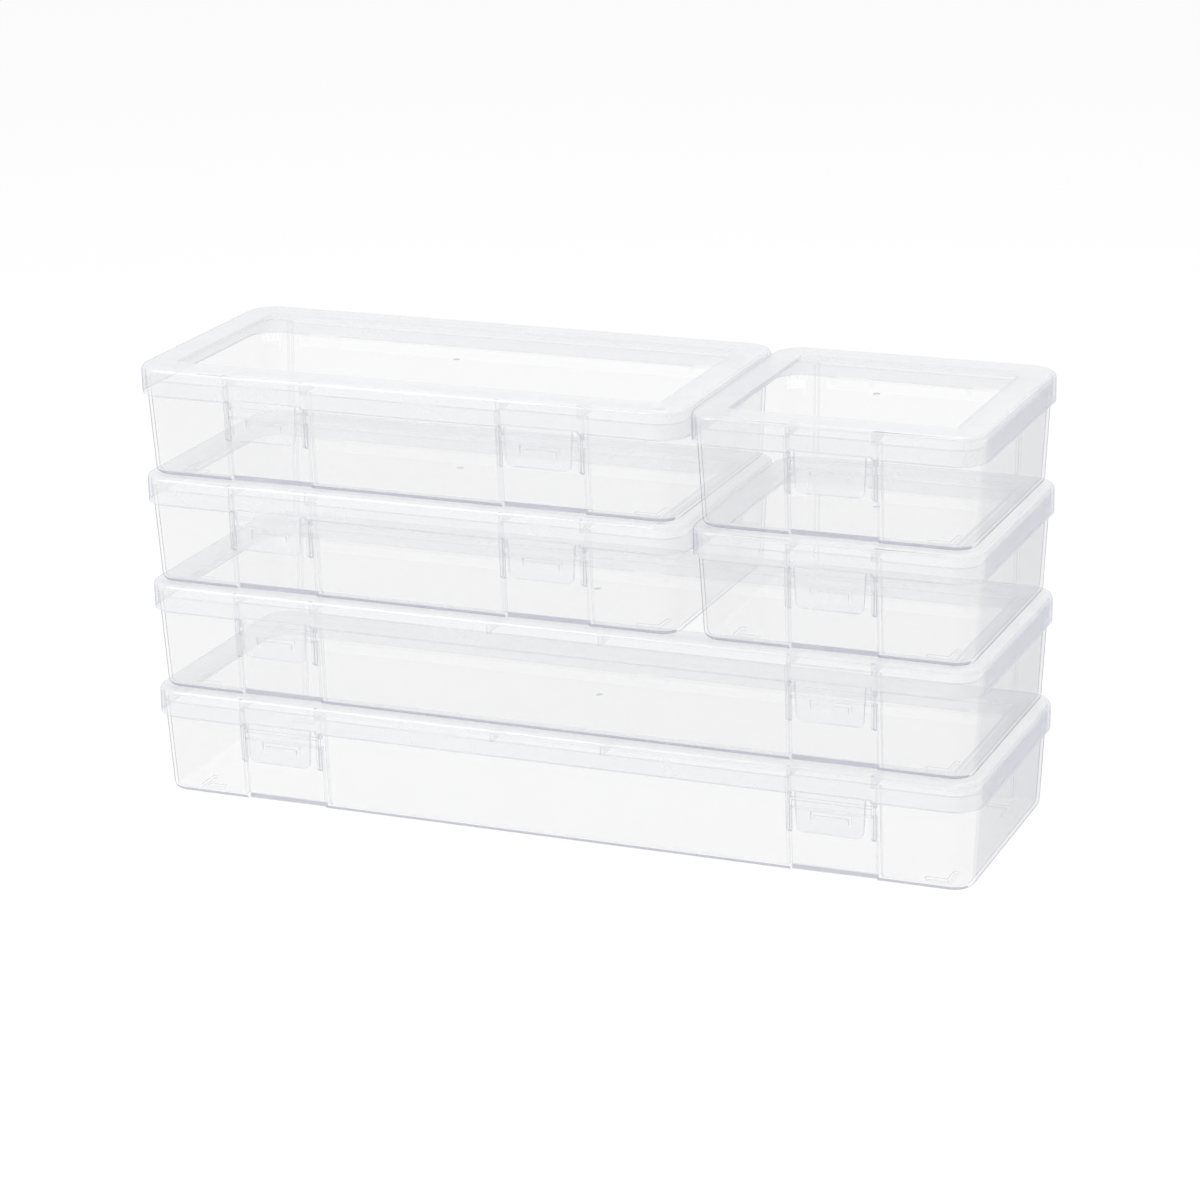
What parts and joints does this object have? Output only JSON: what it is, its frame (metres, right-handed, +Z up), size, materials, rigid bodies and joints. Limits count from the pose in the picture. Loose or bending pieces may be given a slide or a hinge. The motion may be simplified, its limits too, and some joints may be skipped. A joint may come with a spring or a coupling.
{
  "type": "stackable storage box set",
  "caption": "Stack of clear plastic storage boxes in several lengths, each a drafted tray with a hinged lid, snap tongues and feet that nest in the lid below.",
  "frame": {"origin": "centre of the stack's footprint, on the table under its lowest feet", "axes": "+X along the front to the right, +Y to the back, +Z up"},
  "size_m": [0.374, 0.12, 0.1935],
  "materials": {
    "tray": "translucent, smooth",
    "lid": "translucent, finely frosted border"
  },
  "bodies": {
    "long_box_1_base": {"long_box_1_base": "tray"},
    "long_box_1_lid": {"long_box_1_lid": "lid"},
    "long_box_1_latch_left": {"long_box_1_latch_left": "lid"},
    "long_box_1_latch_right": {"long_box_1_latch_right": "lid"},
    "long_box_2_base": {"long_box_2_base": "tray"},
    "long_box_2_lid": {"long_box_2_lid": "lid"},
    "long_box_2_latch_left": {"long_box_2_latch_left": "lid"},
    "long_box_2_latch_right": {"long_box_2_latch_right": "lid"},
    "medium_box_1_base": {"medium_box_1_base": "tray"},
    "medium_box_1_lid": {"medium_box_1_lid": "lid"},
    "medium_box_1_latch_left": {"medium_box_1_latch_left": "lid"},
    "medium_box_1_latch_right": {"medium_box_1_latch_right": "lid"},
    "medium_box_2_base": {"medium_box_2_base": "tray"},
    "medium_box_2_lid": {"medium_box_2_lid": "lid"},
    "medium_box_2_latch_left": {"medium_box_2_latch_left": "lid"},
    "medium_box_2_latch_right": {"medium_box_2_latch_right": "lid"},
    "small_box_1_base": {"small_box_1_base": "tray"},
    "small_box_1_lid": {"small_box_1_lid": "lid"},
    "small_box_1_latch": {"small_box_1_latch": "lid"},
    "small_box_2_base": {"small_box_2_base": "tray"},
    "small_box_2_lid": {"small_box_2_lid": "lid"},
    "small_box_2_latch": {"small_box_2_latch": "lid"}
  },
  "joints": [
    {"name": "long_box_1_lid_hinge", "type": "hinge", "parent": "long_box_1_base", "child": "long_box_1_lid", "pos_m": [0, 0.0582, 0.035], "axis": [-1, 0, 0], "range_deg": [0, 105]},
    {"name": "long_box_1_latch_left_flex", "type": "hinge", "parent": "long_box_1_lid", "child": "long_box_1_latch_left", "pos_m": [-0.125, -0.05935, 0.0377], "axis": [-1, 0, 0], "range_deg": [0, 20], "stiffness_Nm_per_rad": 0.02},
    {"name": "long_box_1_latch_right_flex", "type": "hinge", "parent": "long_box_1_lid", "child": "long_box_1_latch_right", "pos_m": [0.125, -0.05935, 0.0377], "axis": [-1, 0, 0], "range_deg": [0, 20], "stiffness_Nm_per_rad": 0.02},
    {"name": "long_box_2_lift", "type": "slide", "parent": "long_box_1_base", "child": "long_box_2_base", "axis": [0, 0, 1], "range_m": [0, 0.27]},
    {"name": "long_box_2_lid_hinge", "type": "hinge", "parent": "long_box_2_base", "child": "long_box_2_lid", "pos_m": [0, 0.0582, 0.083], "axis": [-1, 0, 0], "range_deg": [0, 105]},
    {"name": "long_box_2_latch_left_flex", "type": "hinge", "parent": "long_box_2_lid", "child": "long_box_2_latch_left", "pos_m": [-0.125, -0.05935, 0.0857], "axis": [-1, 0, 0], "range_deg": [0, 20], "stiffness_Nm_per_rad": 0.02},
    {"name": "long_box_2_latch_right_flex", "type": "hinge", "parent": "long_box_2_lid", "child": "long_box_2_latch_right", "pos_m": [0.125, -0.05935, 0.0857], "axis": [-1, 0, 0], "range_deg": [0, 20], "stiffness_Nm_per_rad": 0.02},
    {"name": "medium_box_1_lift", "type": "slide", "parent": "long_box_2_base", "child": "medium_box_1_base", "axis": [0, 0, 1], "range_m": [0, 0.27]},
    {"name": "medium_box_1_lid_hinge", "type": "hinge", "parent": "medium_box_1_base", "child": "medium_box_1_lid", "pos_m": [-0.0625, 0.0582, 0.131], "axis": [-1, 0, 0], "range_deg": [0, 105]},
    {"name": "medium_box_1_latch_left_flex", "type": "hinge", "parent": "medium_box_1_lid", "child": "medium_box_1_latch_left", "pos_m": [-0.125, -0.05935, 0.1337], "axis": [-1, 0, 0], "range_deg": [0, 20], "stiffness_Nm_per_rad": 0.02},
    {"name": "medium_box_1_latch_right_flex", "type": "hinge", "parent": "medium_box_1_lid", "child": "medium_box_1_latch_right", "pos_m": [0, -0.05935, 0.1337], "axis": [-1, 0, 0], "range_deg": [0, 20], "stiffness_Nm_per_rad": 0.02},
    {"name": "medium_box_2_lift", "type": "slide", "parent": "medium_box_1_base", "child": "medium_box_2_base", "axis": [0, 0, 1], "range_m": [0, 0.27]},
    {"name": "medium_box_2_lid_hinge", "type": "hinge", "parent": "medium_box_2_base", "child": "medium_box_2_lid", "pos_m": [-0.0625, 0.0582, 0.179], "axis": [-1, 0, 0], "range_deg": [0, 105]},
    {"name": "medium_box_2_latch_left_flex", "type": "hinge", "parent": "medium_box_2_lid", "child": "medium_box_2_latch_left", "pos_m": [-0.125, -0.05935, 0.1817], "axis": [-1, 0, 0], "range_deg": [0, 20], "stiffness_Nm_per_rad": 0.02},
    {"name": "medium_box_2_latch_right_flex", "type": "hinge", "parent": "medium_box_2_lid", "child": "medium_box_2_latch_right", "pos_m": [0, -0.05935, 0.1817], "axis": [-1, 0, 0], "range_deg": [0, 20], "stiffness_Nm_per_rad": 0.02},
    {"name": "small_box_1_lift", "type": "slide", "parent": "long_box_2_base", "child": "small_box_1_base", "axis": [0, 0, 1], "range_m": [0, 0.27]},
    {"name": "small_box_1_lid_hinge", "type": "hinge", "parent": "small_box_1_base", "child": "small_box_1_lid", "pos_m": [0.125, 0.0582, 0.131], "axis": [-1, 0, 0], "range_deg": [0, 105]},
    {"name": "small_box_1_latch_flex", "type": "hinge", "parent": "small_box_1_lid", "child": "small_box_1_latch", "pos_m": [0.125, -0.05935, 0.1337], "axis": [-1, 0, 0], "range_deg": [0, 20], "stiffness_Nm_per_rad": 0.02},
    {"name": "small_box_2_lift", "type": "slide", "parent": "small_box_1_base", "child": "small_box_2_base", "axis": [0, 0, 1], "range_m": [0, 0.27]},
    {"name": "small_box_2_lid_hinge", "type": "hinge", "parent": "small_box_2_base", "child": "small_box_2_lid", "pos_m": [0.125, 0.0582, 0.179], "axis": [-1, 0, 0], "range_deg": [0, 105]},
    {"name": "small_box_2_latch_flex", "type": "hinge", "parent": "small_box_2_lid", "child": "small_box_2_latch", "pos_m": [0.125, -0.05935, 0.1817], "axis": [-1, 0, 0], "range_deg": [0, 20], "stiffness_Nm_per_rad": 0.02}
  ],
  "couplings": [
    {"joint": "long_box_1_lid_hinge", "follows": "long_box_2_lift", "rad_per_m": 6.6667},
    {"joint": "long_box_2_lid_hinge", "follows": "medium_box_1_lift", "rad_per_m": 6.6667},
    {"joint": "small_box_1_lift", "follows": "medium_box_1_lift", "ratio": 1},
    {"joint": "medium_box_1_lid_hinge", "follows": "medium_box_2_lift", "rad_per_m": 6.6667},
    {"joint": "small_box_1_lid_hinge", "follows": "small_box_2_lift", "rad_per_m": 6.6667}
  ]
}
